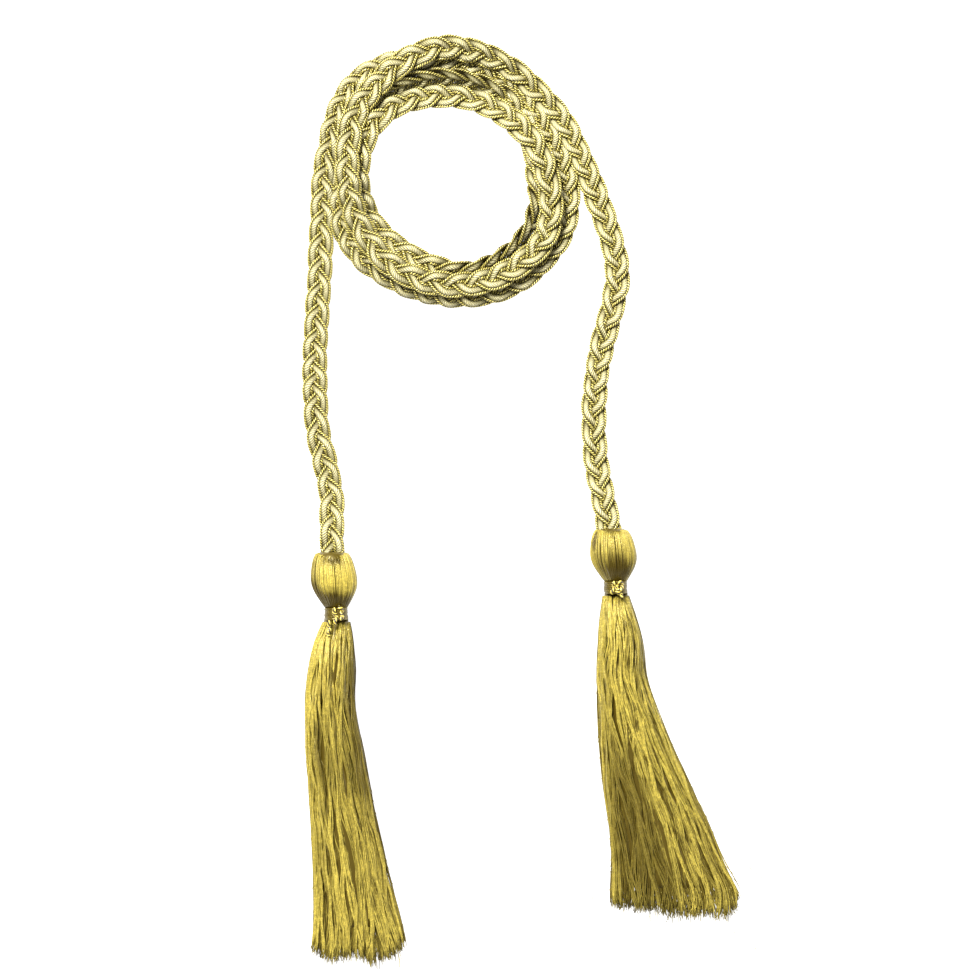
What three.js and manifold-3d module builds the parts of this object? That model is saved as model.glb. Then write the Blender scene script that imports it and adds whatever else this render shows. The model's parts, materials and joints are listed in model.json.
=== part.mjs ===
// A braided waist cord, laid down flat: a three-strand plait wound into a loose coil of a little over
// three turns, with a leg and a tassel at each end.
// Millimetres, +Z up, +Y from the tassels towards the coil. The surface it lies on is z = 0.
import * as THREE from 'three';
import { mergeVertices } from 'three/addons/utils/BufferGeometryUtils.js';
import Module from 'manifold-3d';

const wasm = await Module();
wasm.setup();

// Driving dimensions
const CLEARANCE = 0.3; // between two pieces that touch
const BRAID = { width: 11.2, thickness: 5.4, sides: 10, legSteps: 12, spaceSteps: 24 };
const COIL = {
  x: -32.1, y: 238.5, pointsEachTurn: 24, // its centre, and the points of the braid's middle
  stations: 60, columns: 13, crowding: 0.3, valley: 1.9,
};
const HEAD = { width: 19.6, height: 16.4 };
const NECK = { length: 6.9, width: 8.2 };
const BINDING = { cord: 1.3, wraps: 4, sides: 20 };
const SKIRT = { height: 13, pressed: 2.5, facets: 14, sections: 13, from: 0.012, to: 0.962 };
const CORE = { half: 0.93, high: 0.86 }; // the skirt under its locks, as shares of the whole
const LOCKS = {
  count: 11, facets: 6, sections: 9, from: 0.03, ends: 0.035, wave: 0.05,
  width: 1.5, tip: 0.75, thickness: 0.3, reach: 0.92, crown: 0.8,
};
const FLATTENED = 0.4; // how far the soft tassel is pressed flat where it lies on the surface

// The two tassels. x and y place the top of the head, and lean is how far the neck lies to its right.
const LEFT_TASSEL = { x: -81.3, y: 83.4, lean: 1.7, headLength: 23.7, skirtLength: 145, spread: 43 };
const RIGHT_TASSEL = { x: 38.2, y: 93.3, lean: 1.9, headLength: 22.3, skirtLength: 139, spread: 56.8 };

// The skirts' outlines: down is a share of the skirt's length, middle and half are shares of its spread
const LEFT_OUTLINE = [
  { down: 0.0, middle: 0.0, half: 0.13 },
  { down: 0.056, middle: -0.025, half: 0.19 },
  { down: 0.13, middle: -0.045, half: 0.23 },
  { down: 0.25, middle: -0.06, half: 0.25 },
  { down: 0.4, middle: -0.01, half: 0.29 },
  { down: 0.6, middle: 0.08, half: 0.33 },
  { down: 0.8, middle: 0.17, half: 0.395 },
  { down: 0.92, middle: 0.215, half: 0.45 },
  { down: 1.0, middle: 0.225, half: 0.5 },
];
const RIGHT_OUTLINE = [
  { down: 0.0, middle: 0.005, half: 0.095 },
  { down: 0.077, middle: 0.023, half: 0.14 },
  { down: 0.15, middle: 0.04, half: 0.168 },
  { down: 0.26, middle: 0.05, half: 0.19 },
  { down: 0.45, middle: 0.148, half: 0.265 },
  { down: 0.57, middle: 0.23, half: 0.318 },
  { down: 0.7, middle: 0.322, half: 0.371 },
  { down: 0.82, middle: 0.394, half: 0.42 },
  { down: 0.92, middle: 0.455, half: 0.485 },
  { down: 1.0, middle: 0.47, half: 0.49 },
];
// Their uneven ends: across runs from -1 to 1 over the skirt, reach is a share of its length
const LEFT_HEM = [
  { across: -1.0, reach: 0.965 },
  { across: -0.6, reach: 1.0 },
  { across: 0.0, reach: 0.99 },
  { across: 0.3, reach: 1.01 },
  { across: 0.7, reach: 0.985 },
  { across: 1.0, reach: 0.955 },
];
const RIGHT_HEM = [
  { across: -1.0, reach: 0.965 },
  { across: -0.5, reach: 0.97 },
  { across: 0.0, reach: 0.99 },
  { across: 0.6, reach: 0.99 },
  { across: 0.85, reach: 0.985 },
  { across: 1.0, reach: 0.92 },
];
const TASSELS = [
  { side: 'left', ...LEFT_TASSEL, outline: LEFT_OUTLINE, hem: LEFT_HEM },
  { side: 'right', ...RIGHT_TASSEL, outline: RIGHT_OUTLINE, hem: RIGHT_HEM },
];

// The head's form: down is a share of its length, half is a share of its width
const HEAD_PROFILE = [
  { down: 0.0, half: 0.2 },
  { down: 0.02, half: 0.32 },
  { down: 0.08, half: 0.385 },
  { down: 0.22, half: 0.45 },
  { down: 0.45, half: 0.498 },
  { down: 0.6, half: 0.497 },
  { down: 0.73, half: 0.45 },
  { down: 0.86, half: 0.365 },
  { down: 0.96, half: 0.29 },
];

// How thick the skirt lies: high is a share of its height
const SKIRT_THICKNESS = [
  { down: 0.0, high: 0.66 },
  { down: 0.1, high: 0.95 },
  { down: 0.25, high: 1.0 },
  { down: 0.5, high: 0.88 },
  { down: 0.75, high: 0.7 },
  { down: 1.0, high: 0.46 },
];

// One wrap of the binding: along is a share of its pitch, out is a share of its cord
const WRAP_PROFILE = [
  { along: 0.06, out: 0.55 },
  { along: 0.3, out: 1.0 },
  { along: 0.7, out: 1.0 },
  { along: 0.94, out: 0.55 },
];

// The locks end at different lengths: each row is one kind, taken in turn across the skirt
const LOCK_KINDS = [
  { past: 0.2, wave: 0.6 },
  { past: 0.9, wave: -1.0 },
  { past: 0.5, wave: 0.8 },
  { past: 1.0, wave: -0.4 },
];

// The cord's route, chosen by hand. The legs are points of the braid's middle, from each tassel inwards
// and outwards; lean turns the flat braid about its route, in degrees.
const LEFT_LEG = [
  { x: -81.2, y: 82.2, z: 8.2 },
  { x: -81.4, y: 91.4, z: 7.0 },
  { x: -81.6, y: 105.6, z: 3.3 },
  { x: -84.1, y: 119.8, z: 2.75 },
  { x: -87.4, y: 134.0, z: 2.75 },
  { x: -88.5, y: 148.2, z: 2.75 },
  { x: -88.9, y: 162.8, z: 2.75 },
  { x: -88.3, y: 177.0, z: 2.75 },
  { x: -87.4, y: 191.2, z: 2.75 },
  { x: -86.7, y: 205.0, z: 2.75 },
  { x: -86.3, y: 217.2, z: 2.75 },
];
const RIGHT_LEG = [
  { x: 26.8, y: 248.8, z: 2.75 },
  { x: 29.9, y: 241.2, z: 2.75 },
  { x: 32.6, y: 234.0, z: 2.75 },
  { x: 35.4, y: 226.5, z: 2.75 },
  { x: 37.8, y: 219.0, z: 2.75 },
  { x: 40.0, y: 210.5, z: 2.75 },
  { x: 41.0, y: 201.9, z: 2.75 },
  { x: 39.4, y: 190.2, z: 2.75 },
  { x: 35.8, y: 177.0, z: 2.75 },
  { x: 32.6, y: 162.8, z: 2.75 },
  { x: 31.1, y: 148.2, z: 2.75 },
  { x: 31.0, y: 134.0, z: 2.75 },
  { x: 32.2, y: 119.8, z: 3.3 },
  { x: 35.0, y: 105.6, z: 6.6 },
  { x: 37.5, y: 92.1, z: 8.2 },
];
// The coil's turns, laid clockwise: bearing in degrees from its left side, radius and height of the
// braid's middle. It is worked out between the rows by a loop.
const TURNS = [
  { bearing: -10, radius: 54.2, height: 2.8, lean: 0 },
  { bearing: 8, radius: 53.0, height: 3.2, lean: 12 },
  { bearing: 20, radius: 53.8, height: 3.5, lean: 22 },
  { bearing: 32, radius: 56.6, height: 3.6, lean: 24 },
  { bearing: 46, radius: 60.1, height: 3.6, lean: 24 },
  { bearing: 60, radius: 60.4, height: 3.6, lean: 22 },
  { bearing: 75, radius: 57.0, height: 3.3, lean: 14 },
  { bearing: 90, radius: 55.5, height: 3.1, lean: 8 },
  { bearing: 105, radius: 53.0, height: 3.0, lean: 8 },
  { bearing: 125, radius: 50.6, height: 2.9, lean: 10 },
  { bearing: 150, radius: 49.5, height: 2.8, lean: 0 },
  { bearing: 180, radius: 51.5, height: 2.8, lean: 0 },
  { bearing: 197, radius: 52.7, height: 2.8, lean: 0 },
  { bearing: 215, radius: 51.2, height: 2.8, lean: 0 },
  { bearing: 240, radius: 48.9, height: 2.8, lean: 0 },
  { bearing: 270, radius: 45.3, height: 2.8, lean: 0 },
  { bearing: 300, radius: 44.6, height: 2.8, lean: 0 },
  { bearing: 330, radius: 47.4, height: 2.8, lean: 0 },
  { bearing: 345, radius: 46.9, height: 2.8, lean: 0 },
  { bearing: 362, radius: 45.1, height: 2.8, lean: 0 },
  { bearing: 375, radius: 45.4, height: 2.8, lean: 0 },
  { bearing: 390, radius: 47.8, height: 2.8, lean: 0 },
  { bearing: 405, radius: 49.6, height: 3.6, lean: -28 },
  { bearing: 420, radius: 49.0, height: 5.1, lean: -58 },
  { bearing: 450, radius: 48.5, height: 5.4, lean: -64 },
  { bearing: 470, radius: 47.6, height: 5.2, lean: -60 },
  { bearing: 486, radius: 46.2, height: 3.6, lean: -28 },
  { bearing: 502, radius: 43.8, height: 2.8, lean: 0 },
  { bearing: 522, radius: 40.2, height: 2.8, lean: 0 },
  { bearing: 536, radius: 38.8, height: 3.4, lean: 25 },
  { bearing: 552, radius: 38.5, height: 5.5, lean: 68 },
  { bearing: 570, radius: 38.0, height: 5.7, lean: 78 },
  { bearing: 600, radius: 36.1, height: 5.6, lean: 74 },
  { bearing: 615, radius: 36.0, height: 5.1, lean: 58 },
  { bearing: 630, radius: 35.0, height: 3.6, lean: 28 },
  { bearing: 645, radius: 33.5, height: 2.8, lean: 4 },
  { bearing: 660, radius: 32.5, height: 2.8, lean: 0 },
  { bearing: 675, radius: 33.2, height: 2.8, lean: 0 },
  { bearing: 690, radius: 34.6, height: 2.9, lean: 0 },
  { bearing: 706, radius: 36.4, height: 4.6, lean: -12 },
  { bearing: 722, radius: 38.1, height: 7.6, lean: -6 },
  { bearing: 745, radius: 40.4, height: 8.2, lean: 0 },
  { bearing: 765, radius: 42.3, height: 7.0, lean: 12 },
  { bearing: 785, radius: 41.5, height: 4.4, lean: 10 },
  { bearing: 805, radius: 40.5, height: 2.9, lean: 0 },
  { bearing: 830, radius: 40.3, height: 3.3, lean: 0 },
  { bearing: 850, radius: 40.3, height: 6.2, lean: 8 },
  { bearing: 870, radius: 41.7, height: 8.3, lean: 0 },
  { bearing: 890, radius: 43.0, height: 8.4, lean: -8 },
  { bearing: 905, radius: 44.5, height: 8.3, lean: -14 },
  { bearing: 925, radius: 46.9, height: 8.2, lean: -10 },
  { bearing: 945, radius: 45.1, height: 8.2, lean: -6 },
  { bearing: 965, radius: 42.9, height: 8.1, lean: -6 },
  { bearing: 990, radius: 41.0, height: 8.2, lean: 8 },
  { bearing: 1020, radius: 40.4, height: 8.2, lean: 0 },
  { bearing: 1050, radius: 40.1, height: 8.6, lean: 0 },
  { bearing: 1066, radius: 41.0, height: 10.6, lean: 0 },
  { bearing: 1082, radius: 42.1, height: 13.0, lean: 0 },
  { bearing: 1097, radius: 44.3, height: 13.4, lean: 0 },
  { bearing: 1110, radius: 47.9, height: 11.8, lean: -8 },
  { bearing: 1125, radius: 51.9, height: 9.0, lean: -4 },
  { bearing: 1140, radius: 54.2, height: 9.6, lean: 6 },
  { bearing: 1155, radius: 57.7, height: 12.0, lean: 4 },
  { bearing: 1170, radius: 60.3, height: 10.4, lean: -14 },
  { bearing: 1185, radius: 59.6, height: 7.8, lean: -22 },
  { bearing: 1200, radius: 58.2, height: 5.4, lean: -22 },
  { bearing: 1212, radius: 56.9, height: 3.9, lean: -12 },
  { bearing: 1225, radius: 57.2, height: 2.9, lean: 0 },
  { bearing: 1242, radius: 58.2, height: 2.8, lean: 0 },
];

// A smooth value between the rows of a table, at a place given in its first named column
function between(rows, place, column, at) {
  const last = rows.length - 1;
  let i = 0;
  while (i < last - 1 && at > rows[i + 1][place]) i += 1;
  const slope = (a, b) => (rows[b][column] - rows[a][column]) / (rows[b][place] - rows[a][place]);
  const span = rows[i + 1][place] - rows[i][place];
  const t = Math.min(Math.max((at - rows[i][place]) / span, 0), 1);
  const m0 = slope(Math.max(i - 1, 0), i + 1) * span;
  const m1 = slope(i, Math.min(i + 2, last)) * span;
  const rise = rows[i + 1][column] - rows[i][column];
  return rows[i][column] + t * m0 + t * t * (3 * rise - 2 * m0 - m1) + t * t * t * (m0 + m1 - 2 * rise);
}

function onTurn(bearing) {
  return {
    radius: between(TURNS, 'bearing', 'radius', bearing),
    height: between(TURNS, 'bearing', 'height', bearing),
    lean: between(TURNS, 'bearing', 'lean', bearing),
  };
}

const firstBearing = TURNS[0].bearing;
const lastBearing = TURNS[TURNS.length - 1].bearing;

function coilPoints() {
  const steps = Math.round(((lastBearing - firstBearing) / 360) * COIL.pointsEachTurn);
  return Array.from({ length: steps + 1 }, (_, i) => {
    const bearing = firstBearing + ((lastBearing - firstBearing) * i) / steps;
    const turn = onTurn(bearing);
    const angle = THREE.MathUtils.degToRad(180 - bearing);
    const x = COIL.x + turn.radius * Math.cos(angle);
    const y = COIL.y + turn.radius * Math.sin(angle);
    return { x, y, z: turn.height, lean: turn.lean };
  });
}

// The whole route, and a stretch of it whose flat section stays level apart from its lean
class Route {
  constructor(points) {
    const middles = points.map((p) => new THREE.Vector3(p.x, p.y, p.z));
    const leans = points.map((p) => new THREE.Vector3(p.lean ?? 0, 0, 0));
    this.middle = new THREE.CatmullRomCurve3(middles, false, 'catmullrom');
    this.lean = new THREE.CatmullRomCurve3(leans, false, 'catmullrom');
  }
}

class Stretch extends THREE.Curve {
  constructor(route, from, to) {
    super();
    Object.assign(this, { route, from, to });
  }

  place(t) {
    return THREE.MathUtils.lerp(this.from, this.to, t);
  }

  getPoint(t, target = new THREE.Vector3()) {
    return this.route.middle.getPoint(this.place(t), target);
  }

  computeFrenetFrames(segments) {
    const frames = { tangents: [], normals: [], binormals: [] };
    for (let i = 0; i <= segments; i += 1) {
      const t = this.getUtoTmapping(i / segments);
      const tangent = this.route.middle.getTangent(this.place(t));
      const lean = THREE.MathUtils.degToRad(this.route.lean.getPoint(this.place(t)).x);
      const side = new THREE.Vector3(-tangent.y, tangent.x, 0).normalize().applyAxisAngle(tangent, -lean);
      frames.tangents.push(tangent);
      frames.normals.push(side);
      frames.binormals.push(new THREE.Vector3().crossVectors(tangent, side));
    }
    return frames;
  }
}

const turnsOfBraid = coilPoints();
const routePoints = [...LEFT_LEG, ...turnsOfBraid, ...RIGHT_LEG];
const route = new Route(routePoints);
const whereCoilStarts = LEFT_LEG.length / (routePoints.length - 1);
const whereCoilEnds = (LEFT_LEG.length + turnsOfBraid.length - 1) / (routePoints.length - 1);
const routeShare = CLEARANCE / route.middle.getLength();

// Shapes and solids
function oval(width, thickness, sides) {
  const shape = new THREE.Shape();
  for (let i = 0; i < sides; i += 1) {
    const angle = (2 * Math.PI * i) / sides;
    const x = (width / 2) * Math.cos(angle);
    const y = (thickness / 2) * Math.sin(angle);
    if (i === 0) shape.moveTo(x, y);
    else shape.lineTo(x, y);
  }
  return shape;
}

function oblong(width, thickness) {
  const [x, y] = [width / 2, thickness / 2];
  return new THREE.Shape([[-x, -y], [x, -y], [x, y], [-x, y]].map(([a, b]) => new THREE.Vector2(a, b)));
}

function sweep(shape, path, steps) {
  return new THREE.ExtrudeGeometry(shape, { steps, extrudePath: path, bevelEnabled: false });
}

// A closed skin through rings of points, each with as many points, and flat at its two ends
function loft(rings) {
  const around = rings[0].length;
  const positions = rings.flat().flatMap((p) => [p.x, p.y, p.z]);
  const faces = [];
  for (let i = 0; i + 1 < rings.length; i += 1) {
    for (let j = 0; j < around; j += 1) {
      const a = i * around + j;
      const b = i * around + ((j + 1) % around);
      faces.push(a, b, b + around, a, b + around, a + around);
    }
  }
  const end = (rings.length - 1) * around;
  for (let j = 1; j + 1 < around; j += 1) {
    faces.push(0, j + 1, j, end, end + j, end + j + 1);
  }
  const geometry = new THREE.BufferGeometry();
  geometry.setAttribute('position', new THREE.Float32BufferAttribute(positions, 3));
  geometry.setIndex(faces);
  return geometry;
}

function solid(geometry) {
  const bare = geometry.clone();
  bare.deleteAttribute('normal');
  bare.deleteAttribute('uv');
  const merged = mergeVertices(bare, 1e-4);
  const mesh = new wasm.Mesh({
    numProp: 3,
    vertProperties: new Float32Array(merged.attributes.position.array),
    triVerts: new Uint32Array(merged.index.array),
  });
  return new wasm.Manifold(mesh);
}

function geometryOf(manifold) {
  const mesh = manifold.getMesh();
  const geometry = new THREE.BufferGeometry();
  geometry.setAttribute('position', new THREE.BufferAttribute(mesh.vertProperties, 3));
  geometry.setIndex(new THREE.BufferAttribute(mesh.triVerts, 1));
  return geometry;
}

// The two legs of the braid
const leftLeg = new Stretch(route, 0, whereCoilStarts);
const rightLeg = new Stretch(route, whereCoilEnds, 1);

function legGeometry(stretch) {
  return sweep(oval(BRAID.width, BRAID.thickness, BRAID.sides), stretch, BRAID.legSteps);
}

// The space that a leg keeps free in its neighbours
function legSpace(stretch, height) {
  return solid(sweep(oblong(BRAID.width + 2 * CLEARANCE, height), stretch, BRAID.spaceSteps));
}

// The coil: a ring whose upper side follows the turns that lie on and beside each other
function turnsAt(bearing) {
  const turns = [];
  for (let b = bearing; b <= lastBearing; b += 360) {
    if (b < firstBearing) continue;
    const turn = onTurn(b);
    const lean = THREE.MathUtils.degToRad(turn.lean);
    const [a, c] = [BRAID.width / 2, BRAID.thickness / 2];
    const half = Math.hypot(a * Math.cos(lean), c * Math.sin(lean));
    const slope = ((a * a - c * c) * Math.sin(lean) * Math.cos(lean)) / (half * half);
    turns.push({ ...turn, half, slope, crown: (a * c) / half });
  }
  return turns;
}

function topOfTurns(turns, radius) {
  const heights = turns.map((turn) => {
    const x = radius - turn.radius;
    const rest = 1 - (x / turn.half) ** 2;
    return rest > 0 ? turn.height + turn.slope * x + turn.crown * Math.sqrt(rest) : 0;
  });
  return Math.max(COIL.valley, ...heights);
}

function coilRing(bearing) {
  const turns = turnsAt(bearing);
  const inner = Math.min(...turns.map((turn) => turn.radius - turn.half));
  const outer = Math.max(...turns.map((turn) => turn.radius + turn.half));
  const angle = THREE.MathUtils.degToRad(180 - bearing);
  const at = (radius, z) => new THREE.Vector3(
    COIL.x + radius * Math.cos(angle), COIL.y + radius * Math.sin(angle), z);
  const ring = [at(outer, 0), at(inner, 0)];
  for (let i = 0; i < COIL.columns; i += 1) {
    const share = (1 - Math.cos((Math.PI * i) / (COIL.columns - 1))) / 2;
    const mixed = THREE.MathUtils.lerp(i / (COIL.columns - 1), share, COIL.crowding);
    const radius = THREE.MathUtils.lerp(inner, outer, mixed);
    ring.push(at(radius, topOfTurns(turns, radius)));
  }
  return ring;
}

function coilGeometry() {
  const bearingOf = (i) => firstBearing + (360 * (i + 0.5)) / COIL.stations;
  const rings = Array.from({ length: COIL.stations }, (_, i) => coilRing(bearingOf(i)));
  const around = rings[0].length;
  const positions = rings.flat().flatMap((p) => [p.x, p.y, p.z]);
  const faces = [];
  for (let i = 0; i < rings.length; i += 1) {
    for (let j = 0; j < around; j += 1) {
      const next = ((i + 1) % rings.length) * around;
      const k = (j + 1) % around;
      faces.push(i * around + j, next + k, i * around + k, i * around + j, next + j, next + k);
    }
  }
  const ring = new THREE.BufferGeometry();
  ring.setAttribute('position', new THREE.Float32BufferAttribute(positions, 3));
  ring.setIndex(faces);
  const beforeCoil = new Stretch(route, 0, whereCoilStarts + routeShare);
  const afterCoil = new Stretch(route, whereCoilEnds - routeShare, 1);
  const aboveEveryTurn = 4 * BRAID.thickness;
  const spaces = [legSpace(beforeCoil, aboveEveryTurn), legSpace(afterCoil, aboveEveryTurn)];
  return geometryOf(spaces.reduce((left, space) => left.subtract(space), solid(ring)));
}

// The tassels: a bulb-shaped head, a bound neck and a skirt of locks, one bundle of threads
function crossSection(middle, y, half, low, high, facets) {
  return Array.from({ length: facets }, (_, j) => {
    const angle = (2 * Math.PI * j) / facets;
    const x = middle + half * Math.cos(angle);
    const z = (low + high) / 2 + ((high - low) / 2) * Math.sin(angle);
    return new THREE.Vector3(x, y, z);
  });
}

function neckPlace(tassel) {
  const z = NECK.width / 2 + BINDING.cord + CLEARANCE;
  return { x: tassel.x + tassel.lean, y: tassel.y - tassel.headLength, z };
}

function skirtAt(tassel, down) {
  const neck = neckPlace(tassel);
  return {
    middle: neck.x + tassel.spread * between(tassel.outline, 'down', 'middle', down),
    half: tassel.spread * between(tassel.outline, 'down', 'half', down),
    y: neck.y - NECK.length - tassel.skirtLength * down,
    high: SKIRT.height * between(SKIRT_THICKNESS, 'down', 'high', down),
  };
}

function headRings(tassel) {
  const centre = HEAD.height / 2 - FLATTENED;
  return HEAD_PROFILE.map((row) => {
    const x = tassel.x + tassel.lean * row.down;
    const y = tassel.y - tassel.headLength * row.down;
    const half = row.half * HEAD.width;
    const deep = row.half * HEAD.height;
    return crossSection(x, y, half, centre - deep, centre + deep, SKIRT.facets);
  });
}

function neckRings(tassel) {
  const neck = neckPlace(tassel);
  const half = NECK.width / 2;
  const ringAt = (y) => crossSection(neck.x, y, half, neck.z - half, neck.z + half, SKIRT.facets);
  return [ringAt(neck.y), ringAt(neck.y - NECK.length)];
}

function skirtRings(tassel) {
  return Array.from({ length: SKIRT.sections }, (_, i) => {
    const at = skirtAt(tassel, THREE.MathUtils.lerp(SKIRT.from, SKIRT.to, i / (SKIRT.sections - 1)));
    const half = at.half * CORE.half;
    return crossSection(at.middle, at.y, half, -SKIRT.pressed, at.high * CORE.high, SKIRT.facets);
  });
}

function lockSolid(tassel, index) {
  const kind = LOCK_KINDS[index % LOCK_KINDS.length];
  const across = -1 + (2 * (index + 0.5)) / LOCKS.count;
  const end = between(tassel.hem, 'across', 'reach', across) - LOCKS.ends * (1 - kind.past);
  const rings = Array.from({ length: LOCKS.sections }, (_, i) => {
    const share = i / (LOCKS.sections - 1);
    const at = skirtAt(tassel, THREE.MathUtils.lerp(LOCKS.from, end, share));
    const swing = LOCKS.wave * kind.wave * Math.sin(2 * Math.PI * share + index);
    const side = THREE.MathUtils.clamp(across + swing, -1, 1) * LOCKS.reach;
    const tip = share < 1 ? 1 : LOCKS.tip;
    const thick = at.high * LOCKS.thickness * tip;
    const wide = (at.half / LOCKS.count) * LOCKS.width * tip;
    const crown = at.high * LOCKS.crown * Math.sqrt(1 - side * side);
    const middle = at.middle + side * at.half;
    return crossSection(middle, at.y, wide, crown - thick, crown + thick / 2, LOCKS.facets);
  });
  return solid(loft(rings));
}

function tasselGeometry(tassel, leg) {
  const body = solid(loft([...headRings(tassel), ...neckRings(tassel), ...skirtRings(tassel)]));
  const locks = Array.from({ length: LOCKS.count }, (_, i) => lockSolid(tassel, i));
  const whole = locks.reduce((joined, lock) => joined.add(lock), body);
  const socket = legSpace(leg, BRAID.thickness + 2 * CLEARANCE);
  const below = new THREE.BoxGeometry(4 * tassel.spread, 4 * tassel.skirtLength, HEAD.height);
  below.translate(tassel.x, tassel.y - tassel.skirtLength, -HEAD.height / 2);
  return geometryOf(whole.subtract(socket).subtract(solid(below)));
}

// The binding: turns of bright cord round the neck
function bindingGeometry() {
  const inner = NECK.width / 2 + CLEARANCE;
  const length = NECK.length - 2 * CLEARANCE;
  const pitch = length / BINDING.wraps;
  const profile = [new THREE.Vector2(inner, 0)];
  for (let i = 0; i < BINDING.wraps; i += 1) {
    for (const row of WRAP_PROFILE) {
      profile.push(new THREE.Vector2(inner + BINDING.cord * row.out, pitch * (i + row.along)));
    }
  }
  profile.push(new THREE.Vector2(inner, length), new THREE.Vector2(inner, 0));
  return new THREE.LatheGeometry(profile, BINDING.sides);
}

// Materials
const silk = new THREE.MeshStandardMaterial({ color: 0xd9cf9a, roughness: 0.5, metalness: 0.15 });
const tasselThread = new THREE.MeshStandardMaterial({ color: 0xc9a63a, roughness: 0.4, metalness: 0.1 });
const goldCord = new THREE.MeshStandardMaterial({ color: 0xd8b64c, roughness: 0.3, metalness: 0.7 });

function named(name, geometry, material) {
  const mesh = new THREE.Mesh(geometry, material);
  mesh.name = name;
  return mesh;
}

const cord = new THREE.Group();
cord.add(named('braid_left_leg', legGeometry(leftLeg), silk));
cord.add(named('braid_coil', coilGeometry(), silk));
cord.add(named('braid_right_leg', legGeometry(rightLeg), silk));
TASSELS.forEach((tassel, i) => {
  cord.add(named(`tassel_${tassel.side}`, tasselGeometry(tassel, [leftLeg, rightLeg][i]), tasselThread));
  const binding = named(`neck_binding_${tassel.side}`, bindingGeometry(), goldCord);
  const neck = neckPlace(tassel);
  binding.position.set(neck.x, neck.y - NECK.length + CLEARANCE, neck.z);
  cord.add(binding);
});

export default cord;
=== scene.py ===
"""A braided waist cord with two tassels, laid down in a loose coil.

Metres, +Z up. +Y runs from the tassels towards the coil, and the cord lies on z = 0.
"""
import json
from collections import namedtuple

import bpy
import numpy as np
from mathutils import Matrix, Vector

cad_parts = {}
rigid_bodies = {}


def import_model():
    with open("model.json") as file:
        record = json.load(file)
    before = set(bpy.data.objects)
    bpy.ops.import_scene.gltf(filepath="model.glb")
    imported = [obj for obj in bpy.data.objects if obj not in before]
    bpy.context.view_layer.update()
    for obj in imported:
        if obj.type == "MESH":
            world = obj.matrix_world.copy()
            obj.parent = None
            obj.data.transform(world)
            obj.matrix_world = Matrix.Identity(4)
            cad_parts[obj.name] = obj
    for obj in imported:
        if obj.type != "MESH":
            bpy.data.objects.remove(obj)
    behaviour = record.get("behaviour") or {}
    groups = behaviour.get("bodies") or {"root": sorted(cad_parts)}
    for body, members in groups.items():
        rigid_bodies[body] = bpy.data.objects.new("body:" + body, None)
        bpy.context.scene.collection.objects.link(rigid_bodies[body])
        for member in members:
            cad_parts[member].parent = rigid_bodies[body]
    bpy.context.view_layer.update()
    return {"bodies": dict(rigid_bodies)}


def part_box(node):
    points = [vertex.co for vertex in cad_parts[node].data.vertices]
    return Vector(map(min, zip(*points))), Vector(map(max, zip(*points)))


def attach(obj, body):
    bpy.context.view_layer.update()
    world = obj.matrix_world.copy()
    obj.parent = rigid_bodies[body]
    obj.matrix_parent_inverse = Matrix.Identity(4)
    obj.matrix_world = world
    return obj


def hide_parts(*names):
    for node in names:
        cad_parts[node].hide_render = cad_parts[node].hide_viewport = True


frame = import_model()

bl_info = {
    "name": "Braided waist cord",
    "version": (1, 0, 0),
    "blender": (4, 5, 0),
    "location": "View3D > Sidebar > Waist cord",
    "description": "Makes a plaited silk waist cord with gold gimp and two tassels",
    "category": "Add Mesh",
}

BODY = next(iter(frame["bodies"]))
SIDES = ("left", "right")

# The photograph: its size in pixels, the size of a pixel at the cord, and the pixel where the origin lies
PHOTO_PIXELS = 973
PIXEL = 0.00043
ORIGIN_PIXEL = (521.7, 744.6)
CAMERA_HEIGHT = 1.6
SENSOR_MM = 36.0


def table(kind, *rows):
    """The rows of a table, with the names of its columns."""
    return [kind(*row) for row in rows]


# The cord's route: points of the braid's middle, and the turns of the coil round its centre.
# bearing runs clockwise from the coil's left, in degrees, and lean turns the flat braid about its route. The
# heights that aren't given are those of a braid that lies flat on the floor.
Point = namedtuple("Point", "x y z lean", defaults=(0.00275, 0))
Turn = namedtuple("Turn", "bearing radius height lean", defaults=(0.0028, 0))
COIL_CENTRE = (-0.0321, 0.2385)
POINTS_EACH_TURN = 24
LEFT_LEG = table(
    Point,
    (-0.0812, 0.0822, 0.0082),
    (-0.0814, 0.0914, 0.007),
    (-0.0816, 0.1056, 0.0033),
    (-0.0841, 0.1198),
    (-0.0874, 0.134),
    (-0.0885, 0.1482),
    (-0.0889, 0.1628),
    (-0.0883, 0.177),
    (-0.0874, 0.1912),
    (-0.0867, 0.205),
    (-0.0863, 0.2172),
)
RIGHT_LEG = table(
    Point,
    (0.0268, 0.2488),
    (0.0299, 0.2412),
    (0.0326, 0.234),
    (0.0354, 0.2265),
    (0.0378, 0.219),
    (0.04, 0.2105),
    (0.041, 0.2019),
    (0.0394, 0.1902),
    (0.0358, 0.177),
    (0.0326, 0.1628),
    (0.0311, 0.1482),
    (0.031, 0.134),
    (0.0322, 0.1198, 0.0033),
    (0.035, 0.1056, 0.0066),
    (0.0375, 0.0921, 0.0082),
)
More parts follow.
